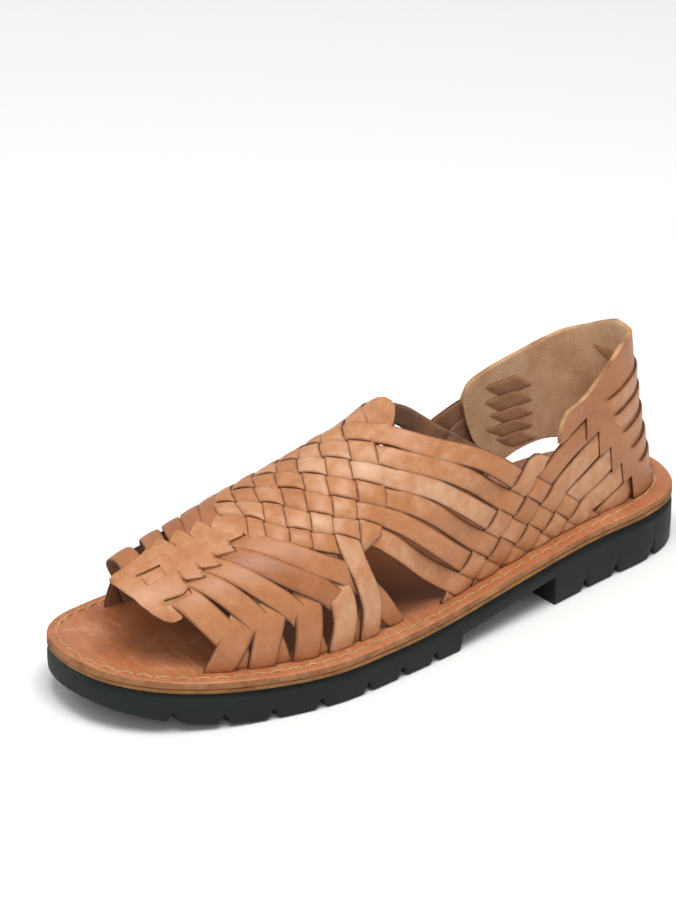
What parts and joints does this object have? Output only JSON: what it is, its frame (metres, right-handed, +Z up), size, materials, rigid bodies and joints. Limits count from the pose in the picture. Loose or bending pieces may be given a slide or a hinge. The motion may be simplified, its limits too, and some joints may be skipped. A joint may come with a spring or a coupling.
{
  "type": "huarache sandal",
  "caption": "Left huarache sandal with an open toe, a woven leather strip upper, a heel counter, a stitched leather insole and a lugged rubber sole with a heel block.",
  "frame": {"origin": "centre of the sole's box, on the floor plane under the tread", "axes": "+Z up, +Y to the heel, -Y to the toe, +X to the outer side of the left foot"},
  "size_m": [0.1013, 0.29, 0.0977],
  "materials": {
    "rubber": "matte",
    "raw_leather": "matte, raw cut edge",
    "insole_leather": "smooth, slightly polished",
    "strip_leather": "satin"
  },
  "bodies": {
    "root": {"outsole": "rubber", "midsole": "raw_leather", "insole": "insole_leather", "upper": "strip_leather"}
  },
  "joints": []
}
